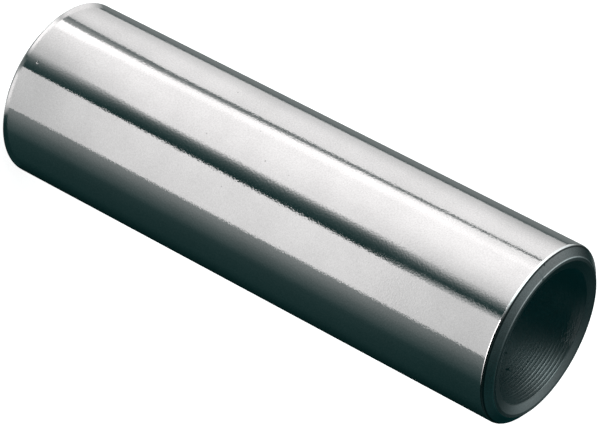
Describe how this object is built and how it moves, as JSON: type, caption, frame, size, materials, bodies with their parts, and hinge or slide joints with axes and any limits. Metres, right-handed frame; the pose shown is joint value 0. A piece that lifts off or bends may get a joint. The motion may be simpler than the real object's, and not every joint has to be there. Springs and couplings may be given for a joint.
{
  "type": "gudgeon pin",
  "caption": "Hollow ground steel gudgeon pin with a straight through bore, a wide chamfer outside each end and a shallow mouth chamfer inside it.",
  "frame": {"origin": "centre of the lower end, on the surface that the pin stands on", "axes": "+Z along the pin's axis, from the end it stands on to the other end; X and Y are any two radial directions, because the pin is round"},
  "size_m": [0.022, 0.022, 0.071],
  "materials": {
    "ground_steel": "ground and polished outside, fine turned inside"
  },
  "bodies": {
    "root": {"gudgeon_pin": "ground_steel"}
  },
  "joints": []
}
